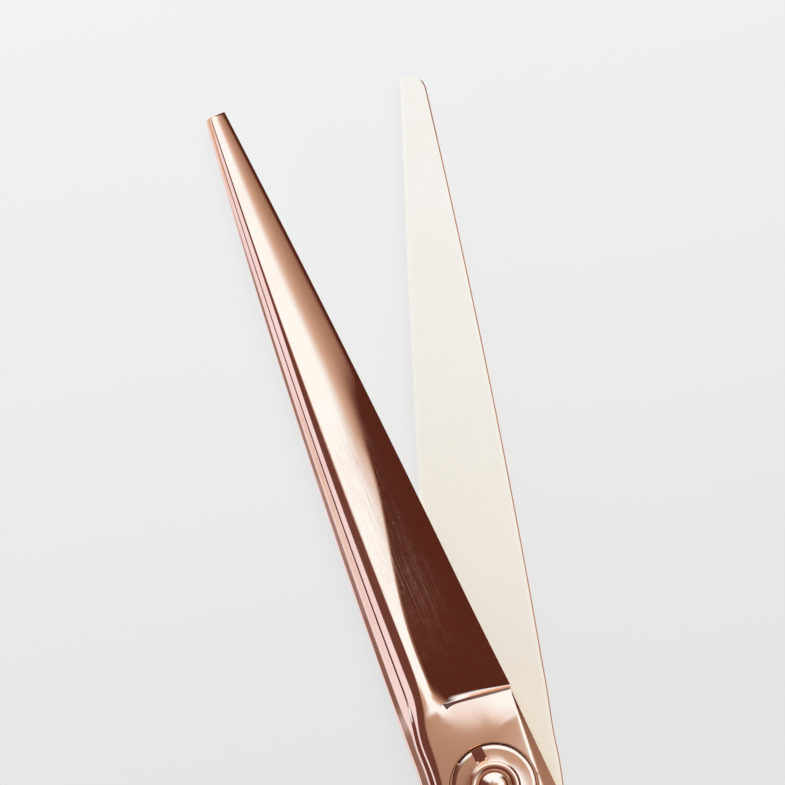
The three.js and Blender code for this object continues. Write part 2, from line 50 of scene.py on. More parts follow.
# ------------------------------------------------------------------ dimensions shared with the CAD
TURN = math.radians(15.7 / 2)
BLOCK = 3.4  # thickness of each half at the pivot
BLOCK_MIDDLE, BLOCK_HALF_WIDTH = -0.575, 6.325
RING_HALF = (1.7, 2.8)
THUMB = dict(name="thumb", side=1, turn=TURN, ride=3.7, reach=73.5, rounding=0.5, ring=(14.0, -56.0),
             inner=(10.0, 11.0), ring_h=-0.9)
FINGER = dict(name="finger", side=-1, turn=-TURN, ride=3.4, reach=72.3, rounding=1.5, ring=(14.0, -64.3),
              inner=(10.3, 11.3), ring_h=0.6)
EDGE_HEIGHT = 0.12
POINTS = 18  # points round each section of a half


# ------------------------------------------------------------------ small helpers
def lerp(a, b, t):
    return a + (b - a) * t


def blend(one, two, t):
    """A table of pairs between two tables of pairs."""
    return [(lerp(a[0], b[0], t), lerp(a[1], b[1], t)) for a, b in zip(one, two)]


def smooth(low, high, value):
    """Smooth step from 0 at low to 1 at high."""
    t = min(1.0, max(0.0, (value - low) / (high - low)))
    return t * t * (3 - 2 * t)


def along(table, place):
    """Value at a place in a table of (place, value) pairs, on a smooth curve that never overshoots."""
    rows = sorted(table)
    if place <= rows[0][0]:
        return rows[0][1]
    if place >= rows[-1][0]:
        return rows[-1][1]
    steps = [(b[1] - a[1]) / (b[0] - a[0]) for a, b in zip(rows, rows[1:])]

    def slope(i):
        if i == 0:
            return steps[0]
        if i == len(rows) - 1:
            return steps[-1]
        before, after = steps[i - 1], steps[i]
        return 2 * before * after / (before + after) if before * after > 0 else 0.0

    for i, ((a, low), (b, high)) in enumerate(zip(rows, rows[1:])):
        if a <= place <= b:
            t = (place - a) / (b - a)
            t2, t3 = t * t, t * t * t
            return ((2 * t3 - 3 * t2 + 1) * low + (t3 - 2 * t2 + t) * (b - a) * slope(i)
                    + (3 * t2 - 2 * t3) * high + (t3 - t2) * (b - a) * slope(i + 1))


def row_matrix(half):
    """From the half frame in millimetres to the row frame in metres."""
    over = Matrix.Rotation(0 if half["side"] > 0 else math.pi, 4, "Y")
    return (Matrix.Scale(MM, 4) @ Matrix.Rotation(half["turn"], 4, "Z")
            @ Matrix.Translation((0, 0, half["ride"])) @ over)


ROW = Matrix.Scale(MM, 4)


def new_object(name, bm, matrix=ROW):
    """An object from a mesh in millimetres, placed in the row frame."""
    bm.transform(matrix)
    bmesh.ops.recalc_face_normals(bm, faces=bm.faces)
    mesh = bpy.data.meshes.new(name)
    bm.to_mesh(mesh)
    bm.free()
    obj = bpy.data.objects.new(name, mesh)
    bpy.context.scene.collection.objects.link(obj)
    return obj


def apply_modifiers(obj):
    """Gives an object the mesh that its modifiers make."""
    graph = bpy.context.evaluated_depsgraph_get()
    baked = bpy.data.meshes.new_from_object(obj.evaluated_get(graph))
    old = obj.data
    obj.modifiers.clear()
    obj.data = baked
    baked.name = obj.name
    bpy.data.meshes.remove(old)


def shade(obj, degrees=24):
    """Smooth shading that keeps the edges sharper than an angle."""
    obj.data.shade_smooth()
    obj.data.set_sharp_from_angle(angle=math.radians(degrees))
    weighted = obj.modifiers.new("even_normals", "WEIGHTED_NORMAL")
    weighted.keep_sharp = True
    weighted.weight = 60


def boolean(obj, other, operation="DIFFERENCE"):
    """Cuts one object with another or joins them, and uses the other up."""
    cut = obj.modifiers.new("cut", "BOOLEAN")
    cut.operation = operation
    cut.solver = "EXACT"
    cut.object = other
    apply_modifiers(obj)
    mesh = other.data
    bpy.data.objects.remove(other)
    bpy.data.meshes.remove(mesh)


# ------------------------------------------------------------------ solids of revolution and sweeps
def lathe(profile, segments=96):
    """A closed (radius, height) outline turned about Z."""
    bm = bmesh.new()
    loops = []
    for radius, height in profile:
        if radius < 1e-6:
            loops.append([bm.verts.new((0, 0, height))] * segments)
            continue
        ring = []
        for i in range(segments):
            a = 2 * math.pi * i / segments
            ring.append(bm.verts.new((radius * math.cos(a), radius * math.sin(a), height)))
        loops.append(ring)
    for one, two in zip(loops, loops[1:] + loops[:1]):
        for i in range(segments):
            j = (i + 1) % segments
            corners = list(dict.fromkeys((one[i], one[j], two[j], two[i])))
            if len(corners) > 2 and bm.faces.get(corners) is None:
                bm.faces.new(corners)
    return bm


def box_mesh(low, high):
    """A box between two corners."""
    bm = bmesh.new()
    bmesh.ops.create_cube(bm, size=1)
    size = Vector(high) - Vector(low)
    bmesh.ops.transform(bm, matrix=Matrix.Diagonal((*size, 1)), verts=bm.verts)
    bmesh.ops.translate(bm, vec=(Vector(low) + Vector(high)) / 2, verts=bm.verts)
    return bm


def skin(rows, closed=False):
    """Quads over equal rows of points; open skins are capped."""
    bm = bmesh.new()
    made = [[bm.verts.new(p) for p in row] for row in rows]
    width = len(made[0])
    pairs = list(zip(made, made[1:] + (made[:1] if closed else [])))
    for one, two in pairs:
        for j in range(width):
            k = (j + 1) % width
            bm.faces.new((one[j], one[k], two[k], two[j]))
    if not closed:
        bm.faces.new(made[0])
        bm.faces.new(made[-1])
    return bm


def ellipse_sweep(centre, radii, height, section, steps=120):
    """A section carried round an ellipse, square to its line."""
    rows = []
    for i in range(steps):
        a = 2 * math.pi * i / steps
        normal = Vector((math.cos(a) / radii[0], math.sin(a) / radii[1])).normalized()
        x, y = centre[0] + radii[0] * math.cos(a), centre[1] + radii[1] * math.sin(a)
        rows.append([(x + out * normal.x, y + out * normal.y, height + up) for out, up in section])
    return skin(rows, closed=True)


def rounded(outline, radius, steps=3, keep=()):
    """A closed outline with each corner replaced by a small round."""
    points = []
    count = len(outline)
    for i, corner in enumerate(outline):
        here = Vector(corner)
        before = Vector(outline[i - 1]) - here
        after = Vector(outline[(i + 1) % count]) - here
        if i in keep or here.x < 1e-6:
            points.append(tuple(here))
            continue
        reach = min(radius, 0.45 * before.length, 0.45 * after.length)
        start, end = here + before.normalized() * reach, here + after.normalized() * reach
        for s in range(steps + 1):
            t = s / steps
            points.append(tuple((1 - t) ** 2 * start + 2 * t * (1 - t) * here + t * t * end))
    return points


# ------------------------------------------------------------------ sections of a half
# Lines that run along a half, as point numbers round its section.
RIDGE, CROWN, FLANK, EDGE_TOP, EDGE_LOW, HONE = 8, 10, 12, 13, 14, 15
INNER_SHARES = (0.35, 0.7)  # places of the last two points, across the inner face


def back_x(y):
    """Line of the blade's back in plan."""
    return -(4.55 - 0.0808 * (y - 40) - 0.000528 * (y - 40) ** 2)


def edge_x(y):
    """Line of the cutting edge in plan."""
    return 3.42 - 0.0667 * (y - 40) - 0.0003 * (y - 40) ** 2


def ridge_height(y, reach):
    """Height of the ridge, which is the highest line of the blade."""
    return (1.0 + 0.0375 * (reach - y)) * (1 - 0.08 * smooth(30, 60, y))


def rounded_back_x(y, half):
    """The back's line, with the half's own rounding at the tip."""
    start = half["reach"] - half["rounding"]
    if y <= start:
        return back_x(y)
    rise = min(1.0, (y - start) / half["rounding"])
    return back_x(start) + half["rounding"] * 0.75 * (1 - math.sqrt(1 - rise * rise))


# The back near the pivot and near the tip, as shares of the bevel zone and of the ridge height: outer band,
# steep band, groove, steep band.
SPINE_ROOT = [(0.0, 0.41), (0.22, 0.535), (0.455, 0.755), (0.505, 0.733), (0.55, 0.768), (0.71, 0.89)]
SPINE_TIP = [(0.0, 0.41), (0.22, 0.53), (0.455, 0.715), (0.505, 0.693), (0.55, 0.728), (0.87, 0.951)]
CROWN_WIDTH = [(12, 0.9), (16, 0.85), (20, 1.2), (24, 1.85), (28, 2.75), (32, 3.55), (36, 4.3), (40, 5.0),
               (44, 5.6)]
FIRST_TILT = [(24, 7.0), (33, 5.1), (42, 3.2), (48, 3.4), (58, 6.0)]  # degrees beside the ridge
LAST_TILT = [(20, 11.0), (26, 13.0), (32, 15.4), (38, 17.6), (44, 18.7)]  # degrees at the crown's end
STEEPEST = math.tan(math.radians(33))
BACK_INSET, BACK_BEVEL = 0.15, 0.045  # width and height of the bevel between inner face and back
LAST_BEVEL = 0.2  # width of the last bevel along the upper half of the cutting edge


def crown_width(y, width):
    """Width of the crowned part beside the ridge."""
    return min(along(CROWN_WIDTH, y), max(width - LAST_BEVEL, 0.6 * width))


def face_height(u, y, width, top):
    """Height of the outer face u from the ridge: a crowned part, then a flat flank down to the edge."""
    crown = crown_width(y, width)
    first = math.tan(math.radians(along(FIRST_TILT, y)))
    last = math.tan(math.radians(along(LAST_TILT, y)))

    def crowned(v):
        quarter = 2 * crown / math.pi
        return top - first * v - (last - first) * quarter * (1 - math.cos(v / quarter))

    if u <= crown:
        return crowned(u)
    start = crowned(crown)
    slope = min((start - EDGE_HEIGHT) / (width - crown), STEEPEST)
    return start - slope * (u - crown)


def blade_section(y, half):
    """Points round the blade: up the back, over the ridge to the edge, and back across the inner face."""
    back, edge = rounded_back_x(y, half), edge_x(y)
    zone = min(0.72 + 0.043 * (half["reach"] - 2.4 - y), 0.45 * (edge - back))
    ridge, top = back + zone, ridge_height(y, half["reach"])
    width = edge - ridge
    crown = crown_width(y, width)
    merge = smooth(33, 43, y)
    low = [0.5 * crown, crown, lerp(crown, width, 0.34), lerp(crown, width, 0.68)]
    high = [0.25 * width, 0.5 * width, 0.72 * width, width - min(LAST_BEVEL, 0.12 * width)]
    places = [lerp(one, two, merge) for one, two in zip(low, high)] + [width]
    hone = min(0.35, 0.2 * width)
    thin = smooth(38, 56, y)
    spine = blend(SPINE_ROOT, SPINE_TIP, thin)
    return ([(back + BACK_INSET, 0), (back, BACK_BEVEL)]
            + [(back + across * zone, up * top) for across, up in spine]
            + [(ridge, top)]
            + [(ridge + u, face_height(u, y, width, top)) for u in places]
            + [(edge, 0), (edge - hone, 0)]
            + [(lerp(edge - hone, back + BACK_INSET, t), 0) for t in INNER_SHARES])


# The block's back at the heel and at the pivot, as distances back from its ridge and heights: two narrow
# steep steps with a flatter band between them.
HEEL_BANDS = [(1.42, 2.72), (1.28, 2.85), (1.08, 2.92), (0.9, 2.97), (0.7, 3.13)]
PIVOT_BANDS = [(1.14, 2.78), (1.03, 2.88), (0.85, 2.94), (0.57, 3.06), (0.42, 3.19)]
BLOCK_FALL = [(0.2, 0.3), (0.4, 0.6), (0.6, 0.9), (0.8, 1.0)]  # share of the fall, from ridge to edge
FALL = [(3, 0), (5, 0.05), (7, 0.2), (8.5, 0.42)]  # how far the block's top has fallen towards the heel
BLOCK_RIDGE = [(-20, -5.5), (-4, -5.5), (1, -5.1), (4, -4.65), (7, -4.4), (8.3, -4.19)]
BLOCK_OUTER = [(-9, -6.9), (-3, -7.05), (1, -7.05), (4, -6.75), (8, -6.6)]


def block_section(y):
    """The pivot block: bands on the back, a top that falls towards the heel, and a chamfer beside it."""
    ridge, outer = along(BLOCK_RIDGE, y), along(BLOCK_OUTER, y)
    top_edge = 5.2 - 0.0816 * (8 - y)
    side = 5.29 + 0.049 * (8 - y)
    drop = 0.02 + 0.31 * (side - top_edge)
    fall = along(FALL, y)
    top = BLOCK - fall - 0.12 * smooth(-6, 4, y)
    near_heel = smooth(2, 7, y)
    bands = blend(PIVOT_BANDS, HEEL_BANDS, near_heel)
    wall = bands[0][1] - 0.6 * (ridge - bands[0][0] - outer)
    tops = [(lerp(ridge, top_edge, t), BLOCK - fall * share) for t, share in BLOCK_FALL]
    return ([(outer + BACK_INSET, 0), (outer, BACK_BEVEL), (outer, wall)]
            + [(ridge - back, h) for back, h in bands]
            + [(ridge, BLOCK - 0.25 * fall)] + tops + [(top_edge, top), (side, top - drop), (side, 0)]
            + [(lerp(side, outer + BACK_INSET, t), 0) for t in INNER_SHARES])


# The plunge cut, as rows from the blade to the block. Each line is given in plan from the ridge to the
# edge, with how far it has risen from the blade to the block, by the ridge and by the edge.
PLUNGE = [
    dict(y=13.2, rise=(0.0, 0.0),
         line=[(-3.2, 13.2), (-2.75, 12.95), (-2.25, 12.4), (-0.4, 10.6), (2.5, 9.5), (5.40, 8.72)]),
    dict(y=11.2, rise=(0.09, 0.03),
         line=[(-3.45, 11.2), (-3.0, 10.95), (-2.4, 10.7), (-0.5, 9.9), (2.5, 9.2), (5.38, 8.62)]),
    dict(y=9.6, rise=(0.4, 0.13),
         line=[(-3.75, 9.6), (-2.9, 9.65), (-1.8, 9.6), (0.5, 9.38), (2.8, 9.0), (5.34, 8.52)]),
    dict(y=8.3, rise=(1.0, 1.0),
         line=[(-4.19, 8.3), (-3.0, 9.0), (-1.8, 9.42), (0.5, 9.12), (2.8, 8.76), (5.26, 8.46)]),
]


def plunge_row(step, half):
    """One row of the plunge, each point at its own place along the blade."""
    by_ridge, by_edge = step["rise"]
    spine_share = smooth(0, 1, (11.2 - step["y"]) / 3.4)
    blade, base = blade_section(step["y"], half), block_section(step["y"])
    points = []
    for i in range(POINTS):
        if i < RIDGE:
            x, h = (lerp(blade[i][k], base[i][k], spine_share) for k in (0, 1))
            points.append((x, step["y"], h))
        elif i <= EDGE_TOP:
            x, y = step["line"][i - RIDGE]
            amount = lerp(by_ridge, by_edge, max(0.0, (i - CROWN) / (EDGE_TOP - CROWN)))
            share = amount if i > RIDGE + 1 else max(amount, spine_share)
            points.append((x, y, lerp(height_on_blade(x, y, half), base[i][1], share)))
        elif i <= HONE:
            x, y = step["line"][-1]
            x = lerp(x - (0.3 if i == HONE else 0), base[i][0], by_edge)
            points.append((x, y, base[i][1] * by_edge))
        else:
            (x, y), t = step["line"][-1], INNER_SHARES[i - HONE - 1]
            points.append((lerp(x - 0.3, base[0][0], t), lerp(y, step["y"], t), 0))
    return points


def height_on_blade(x, y, half):
    """Height of the blade's outer face at a place in plan."""
    section = blade_section(y, half)[RIDGE:EDGE_LOW]
    for (a, low), (b, high) in zip(section, section[1:]):
        if x <= b:
            return lerp(low, high, max(0.0, (x - a) / (b - a)))
    return EDGE_HEIGHT


def shank_plan(half):
    """Tables of the shank's middle, half width, half height and height of its middle, by y."""
    (cx, cy), (a, b) = half["ring"], (r + RING_HALF[0] for r in half["inner"])
    join, join_x = cy + 0.5 * b, cx - math.cos(math.pi / 6) * a
    neck, middle = join + 7, BLOCK / 2
    return dict(
        end=join + 9.5,
        x=[(4, BLOCK_MIDDLE), (-3, -0.54), (-9, -0.15), (-15, 0.85), (-21, 2.1), (-28, 3.25), (-34, 3.65),
           (neck, join_x), (join, join_x)],
        width=[(4, BLOCK_HALF_WIDTH), (-3, 6.27), (-9, 5.75), (-15, 4.65), (-21, 3.5), (-28, 2.7), (-34, 2.4),
               (neck, 2.05), (join, 1.6)],
        height=[(0, middle), (-26, middle), (-33, 2.15), (neck, 2.6), (join, 2.6)],
        h=[(0, middle), (-26, middle), (-33, lerp(middle, half["ring_h"], 0.42)),
           (neck, half["ring_h"]), (join, half["ring_h"])],
    )


FULLER = 1.02  # how far the control points stand outside the shank's smooth oval
# Where each point of a section comes to stand round that oval, in degrees.
OVAL_PLACES = [-120, -138, -156, -172, 172, 158, 144, 128, 110, 92, 74, 56, 38, 20, -4, -36, -64, -92]


def shank_row(y, plan):
    """The block's section worked over to an oval as it leaves the block."""
    x0, wide, tall, h0 = (along(plan[key], y) for key in ("x", "width", "height", "h"))
    to_oval = 1 - smooth(-22, -7, y)
    points = []
    for i, (x, h) in enumerate(block_section(max(y, -3))):
        across, up = (x - BLOCK_MIDDLE) / BLOCK_HALF_WIDTH, 2 * h / BLOCK - 1
        angle = math.radians(OVAL_PLACES[i])
        boxed = Vector((x0 + across * wide, h0 + up * tall))
        oval = Vector((x0 + math.cos(angle) * wide * FULLER, h0 + math.sin(angle) * tall * FULLER))
        mixed = boxed.lerp(oval, to_oval)
        points.append((mixed.x, y, mixed.y))
    return points


# ------------------------------------------------------------------ control cage of a half
BLADE_STOPS = [0, 0.12, 0.4, 0.8, 1.3, 2.0, 3.5, 7, 12, 18, 24, 30, 36, 42, 48, 53, 57]
BLADE_END = 14.5  # the plunge's rows take over from the blade's here
BLOCK_STOPS = [7.0, 6.0, 5.0, 3.5, 2.0, 0.0, -2.5, -5.5]
SHANK_STOPS = [-8.5, -12, -16, -20, -24, -28, -32, -36, -40, -44, -48]
RING_STEPS = 30
RING_SIDES = 8
SECTION_SHRINK, ROUND_SHRINK = 0.902, 1.005  # make up for how smoothing draws in the bow's control points
PATCH = (10, 15)  # steps of the bow that the shank runs into
OUTER_SIDES = (6, 7, 0, 1)  # sides of the bow's section that the shank runs into
JOIN_HEIGHT = 0.92  # how much of its height the row between shank and bow keeps


def cage_rows(half):
    """Rows of section points from the tip to the shank's end."""
    rows = [[(x, half["reach"] - back, h) for x, h in blade_section(half["reach"] - back, half)]
            for back in BLADE_STOPS]
    rows = [row for row in rows if row[RIDGE][1] > BLADE_END]
    rows += [plunge_row(step, half) for step in PLUNGE]
    rows += [[(x, y, h) for x, h in block_section(y)] for y in BLOCK_STOPS]
    plan = shank_plan(half)
    rows += [shank_row(y, plan) for y in SHANK_STOPS if y > plan["end"] + 2]
    rows.append(shank_row(plan["end"], plan))
    return rows


def bow_points(half):
    """Control points of the bow, one ring of section points per step."""
    (cx, cy), inner = half["ring"], half["inner"]
    radii = [r + RING_HALF[0] for r in inner]
    loops = []
    for step in range(RING_STEPS):
        a = math.radians(5 + 360 * step / RING_STEPS)
        normal = Vector((math.cos(a) / radii[0], math.sin(a) / radii[1])).normalized()
        loop = []
        for side in range(RING_SIDES):
            b = 2 * math.pi * side / RING_SIDES
            out = RING_HALF[0] * math.cos(b) / SECTION_SHRINK
            up = RING_HALF[1] * math.sin(b) / SECTION_SHRINK
            loop.append((cx + radii[0] * math.cos(a) * ROUND_SHRINK + out * normal.x,
                         cy + radii[1] * math.sin(a) * ROUND_SHRINK + out * normal.y, half["ring_h"] + up))
        loops.append(loop)
    return loops


# Material numbers of the faces that aren't polished; the last is the plunge step's leaf faces, a rough
# unpolished cut whose near-black colour is painted shade for the crevice.
SATIN, HONED, PAINTED_SHADE_LEAF = 1, 2, 3
INNER_END = -16  # the satin inner face runs this far behind the pivot
HONE_END = 8.6  # the honed strip along the edge runs down to here
LINE_CREASE = {0: 1.0, 1: 0.9, 2: 0.95, 3: 0.9, 4: 0.9, 5: 0.6, 6: 0.9, 7: 0.95, RIDGE: 0.95, CROWN: 0.8,
               FLANK: 0.3, EDGE_TOP: 1.0, EDGE_LOW: 1.0, HONE: 0.6}
CHAMFER_CREASE = 0.85


def strip(bm, one, two):
    """Quads between two closed rows of a half."""
    faces = []
    for j in range(POINTS):
        k = (j + 1) % POINTS
        faces.append(bm.faces.new((one[j], one[k], two[k], two[j])))
    return faces


def mark(bm, crease, a, b, value):
    """Creases the edge between two control points, if there is one."""
    edge = bm.edges.get((a, b))
    if edge:
        edge[crease] = max(edge[crease], value)


def line_crease(j, y):
    """Crease of line j at y: all lines soften on the shank, and some begin or end on the blade."""
    value = LINE_CREASE[j]
    if j == CROWN:
        value *= (1 - smooth(30, 41, y)) if y > 12 else 0
    if j == FLANK:
        value *= smooth(38, 46, y)
    if j == EDGE_TOP and y < 8:
        value = CHAMFER_CREASE
    return value * smooth(-24, -5, y)


def mark_lines(bm, crease, made):
    """Creases round the tip and along the lines of a half."""
    for j in range(POINTS):
        mark(bm, crease, made[0][j], made[0][(j + 1) % POINTS], 0.9)
    for one, two in zip(made, made[1:]):
        y = (one[RIDGE].co.y + two[RIDGE].co.y) / 2
        for j in LINE_CREASE:
            mark(bm, crease, one[j], two[j], line_crease(j, y))


def mark_plunge(bm, crease, blade_end, leaf, block_start):
    """Creases across the plunge cut, and the leaf-shaped faces of its step, which take the near-black
    material that paints the crevice's shade.
    """
    for j in range(CROWN, EDGE_TOP):
        for row, value in ((blade_end, 0.5), (leaf, 0.7), (block_start, 1.0)):
            mark(bm, crease, row[j], row[j + 1], value)
        corners = {leaf[j], leaf[j + 1], block_start[j], block_start[j + 1]}
        # The leaf faces take the near-black material: painted shade for the crevice of the step.
        next(face for face in leaf[j].link_faces if set(face.verts) == corners).material_index = PAINTED_SHADE_LEAF
    for j in (EDGE_TOP, EDGE_LOW):
        mark(bm, crease, block_start[j], block_start[j + 1], 0.9)


def add_bow(bm, half, last):
    """The bow, left open where the shank comes in, and the faces that join it to the shank's last row."""
    bow = [[bm.verts.new(p) for p in loop] for loop in bow_points(half)]
    low, high = PATCH
    for step in range(RING_STEPS):
        one, two = bow[step], bow[(step + 1) % RING_STEPS]
        for side in range(RING_SIDES):
            if low <= step < high and side in OUTER_SIDES:
                continue
            far = (side + 1) % RING_SIDES
            bm.faces.new((one[side], one[far], two[far], two[side]))
    # Where each point of the shank's section meets the opening in the bow.
    border = {3: bow[high][7], 4: bow[high][0], 5: bow[high][1],
              12: bow[low][1], 13: bow[low][0], 14: bow[low][7]}
    for n in range(high - low + 1):
        border[6 + n] = bow[high - n][2]
        border[(15 + n) % POINTS] = bow[low + n][6]
    target = [border[j] for j in range(POINTS)]
    middle = [bm.verts.new(last[j].co.lerp(target[j].co, 0.5)) for j in range(POINTS)]
    for vertex in middle:
        vertex.co.z = lerp(half["ring_h"], vertex.co.z, JOIN_HEIGHT)
    strip(bm, last, middle)
    strip(bm, middle, target)
    for unused in [v for loop in bow for v in loop if not v.link_faces]:
        bm.verts.remove(unused)


def half_cage(half):
    """The forged half as one control cage: blade, block, shank and bow, with its crease lines."""
    bm = bmesh.new()
    crease = bm.edges.layers.float.new("crease_edge")
    rows = cage_rows(half)
    made = [[bm.verts.new(p) for p in row] for row in rows]
    for one, two in zip(made, made[1:]):
        for j, face in enumerate(strip(bm, one, two)):
            y = (one[j].co.y + two[j].co.y) / 2
            if j == EDGE_LOW and y > HONE_END:
                face.material_index = HONED
            if j > EDGE_LOW and y > INNER_END:
                face.material_index = SATIN
    bm.faces.new(made[0])
    mark_lines(bm, crease, made)
    first = next(i for i, row in enumerate(rows) if abs(row[RIDGE][1] - PLUNGE[0]["y"]) < 1e-6)
    mark_plunge(bm, crease, made[first], made[first + 2], made[first + 3])
    add_bow(bm, half, made[-1])
    return bm


def forged_half(half):
    """The smooth forging, with a material slot for each finish and one for the painted shade of the plunge's
    step.
    """
    obj = new_object(half["name"] + "_forging", half_cage(half), row_matrix(half))
    for _ in ("polished", "satin", "honed", "leaf_shade_paint"):
        obj.data.materials.append(None)
    subdivide = obj.modifiers.new("smooth", "SUBSURF")
    subdivide.levels = subdivide.render_levels = DETAIL
    subdivide.use_limit_surface = True
    apply_modifiers(obj)
    return obj


def turned(name, profile, matrix=ROW, segments=96):
    """A solid of revolution as an object."""
    return new_object(name, lathe(profile, segments), matrix)


# ------------------------------------------------------------------ the two halves, with seats and holes
# Radii and heights above the table, shared by the pivot's pieces and the seats cut for them.
THROUGH = 20  # a cut this long leaves the piece
CLEARANCE = 0.08
BALLS, BALL_R, BALL_PITCH, BALL_PLANE = 8, 0.5, 3.55, 3.55
HEAD = dict(radius=4.0, flat=3.3, top=1.2)
SHAFT_R, SHAFT_END_R = 2.0, 1.62
RACE_SEAT_R = 4.85
BUSH_BORE_R = 2.68
DIAL_SEAT = [(4.48, 4.92), (4.48, 6.98), (4.56, 7.07), (4.7, 7.25)]
GROOVE_DEPTH, GROOVE_HALF = 0.55, 0.95
BOSS = [(0, -1.6), (2.78, -1.6), (2.64, -0.6), (2.5, 0.4), (2.5, 1.15), (2.38, 1.3), (0, 1.3)]
REST_ANGLE = -75
BUMPER_AT = (0, -41, 0.75)
HEAD_EDGE = 0.12


def hole(name, radius, low, high, matrix=ROW):
    """A plain round cutter."""
    return turned(name, [(0, low), (radius, low), (radius, high), (0, high)], matrix)


def keyed_head(name, radius, flat, low, high):
    """A round head with two flats."""
    head = turned(name, [(0, low), (radius - HEAD_EDGE, low), (radius, low + HEAD_EDGE), (radius, high),
                         (0, high)])
    for side in (-1, 1):
        near, far = sorted((side * flat, side * (radius + 1)))
        key = box_mesh((near, -radius - 1, low - 1), (far, radius + 1, high + 1))
        boolean(head, new_object("key", key))
    return head


def laid(start, degrees, half):
    """Matrix that lays a turned piece in the half's plane, from a point and pointing along an angle."""
    heading = Matrix.Rotation(math.radians(degrees), 4, "Z")
    lying = Matrix.Rotation(math.radians(90), 4, "Y")
    return row_matrix(half) @ Matrix.Translation(start) @ heading @ lying


def bow_groove(half):
    section = [(-1, -GROOVE_HALF), (GROOVE_DEPTH, -GROOVE_HALF),
               (GROOVE_DEPTH, GROOVE_HALF), (-1, GROOVE_HALF)]
    groove = ellipse_sweep(half["ring"], half["inner"], half["ring_h"], section)
    return new_object("groove", groove, row_matrix(half))


def rest_seat():
    """Middle of the finger rest's seat, just inside the outside of the finger bow."""
    heading = math.radians(REST_ANGLE)
    (cx, cy), (a, b) = FINGER["ring"], (r + 3.2 for r in FINGER["inner"])
    return cx + a * math.cos(heading), cy + b * math.sin(heading), FINGER["ring_h"]


def thumb_blade():
    """The half with the thumb bow, bored for the bush, with seats for the upper race and the dial."""
    obj = forged_half(THUMB)
    boolean(obj, hole("seat", RACE_SEAT_R, -1, 4.41))
    boolean(obj, hole("bore", BUSH_BORE_R, -2, THROUGH))
    widest, floor = DIAL_SEAT[-1][0], DIAL_SEAT[0][1]
    boolean(obj, turned("dial_seat", [(0, floor)] + DIAL_SEAT + [(widest, THROUGH), (0, THROUGH)]))
    boolean(obj, bow_groove(THUMB))
    return obj


def finger_blade():
    """The half with the finger bow, bored for the bolt, with seats for its head, rest and bumper."""
    obj = forged_half(FINGER)
    at_rest, at_bumper = laid(rest_seat(), REST_ANGLE, FINGER), laid(BUMPER_AT, 180, FINGER)
    boolean(obj, turned("boss", BOSS, at_rest), "UNION")
    boolean(obj, hole("seat", RACE_SEAT_R, 2.69, THROUGH))
    boolean(obj, hole("bore", SHAFT_R + CLEARANCE, -5, THROUGH))
    boolean(obj, keyed_head("head_seat", HEAD["radius"] + CLEARANCE, HEAD["flat"] + CLEARANCE, -5,
                            HEAD["top"] + CLEARANCE))
    boolean(obj, bow_groove(FINGER))
    boolean(obj, hole("rest_hole", 1.3, -2, 3, at_rest))
    boolean(obj, hole("bumper_hole", 1.15, -3.4, 3, at_bumper))
    return obj


# ------------------------------------------------------------------ pivot
# Degrees from +Y to the dial's slots and to its index.
DIAL_TURN, INDEX_TURN = 11.4, 43.4


def pivot_bolt():
    """Bolt with a keyed head, and a domed end with two flats for the click washer."""
    bolt = keyed_head("pivot_bolt", HEAD["radius"], HEAD["flat"], 0.0, HEAD["top"])
    dome = [(SHAFT_END_R * math.cos(math.radians(a)), 6.86 + 0.49 * math.sin(math.radians(a)))
            for a in range(0, 90, 9)]
    shaft = [(0, 1.0), (SHAFT_R, 1.0), (SHAFT_R, 6.14), (1.94, 6.22), (SHAFT_END_R, 6.24)]
    shaft += dome + [(0, 7.35)]
    boolean(bolt, turned("shaft", shaft), "UNION")
    for side in (-1, 1):
        near, far = sorted((side * SHAFT_END_R, side * 4))
        boolean(bolt, new_object("flat", box_mesh((near, -4, 5.86), (far, 4, 6.42))))
    return bolt


def dial_slot():
    """Cutter of one of the dial's slots: its floor falls towards the lip, its inner corners are round."""
    half_width, inner, outer = 0.6, 2.6, 5.5
    cutter = box_mesh((-half_width, inner, 6.72), (half_width, outer, 8.5))
    for vertex in cutter.verts:
        if vertex.co.z < 7:
            vertex.co.z = 6.6 if vertex.co.y < 3 else 7.04
    corners = []
    for edge in cutter.edges:
        one, two = (vertex.co for vertex in edge.verts)
        if abs(one.x - two.x) < 1e-6 and abs(one.z - two.z) > 0.5 and one.y < 3:
            corners.append(edge)
    bmesh.ops.bevel(cutter, geom=corners, offset=0.25, segments=4, affect="EDGES")
    return cutter


def tension_dial():
    """A flat dial with a raised lip, two slots and an index."""
    underside = [(1.82, 6.3), (4.18, 6.3), (4.24, 6.36)]
    face = [(4.24, 6.86), (4.2, 6.94), (4.1, 6.98), (3.8, 6.99), (3.3, 7.02), (2.9, 7.045), (2.68, 7.07)]
    lip = [(2.6, 7.12), (2.56, 7.28), (2.5, 7.39), (2.42, 7.42), (2.2, 7.42), (2.0, 7.415), (1.9, 7.38),
           (1.84, 7.3), (1.82, 7.2)]
    dial = turned("tension_dial", underside + face + lip, segments=160)
    for turn in (DIAL_TURN, DIAL_TURN + 180):
        cutter = dial_slot()
        cutter.transform(Matrix.Rotation(math.radians(turn), 4, "Z"))
        boolean(dial, new_object("slot", cutter))
    lug = box_mesh((-0.13, 4.04, 6.4), (0.13, 4.38, 6.9))
    lug.transform(Matrix.Rotation(math.radians(INDEX_TURN), 4, "Z"))
    boolean(dial, new_object("lug", lug), "UNION")
    return dial


def ring_piece(name, inner, outer, low, high):
    """A flat ring with slightly rounded edges."""
    profile = rounded([(inner, low), (outer, low), (outer, high), (inner, high)], 0.05, 2)
    return turned(name, profile)


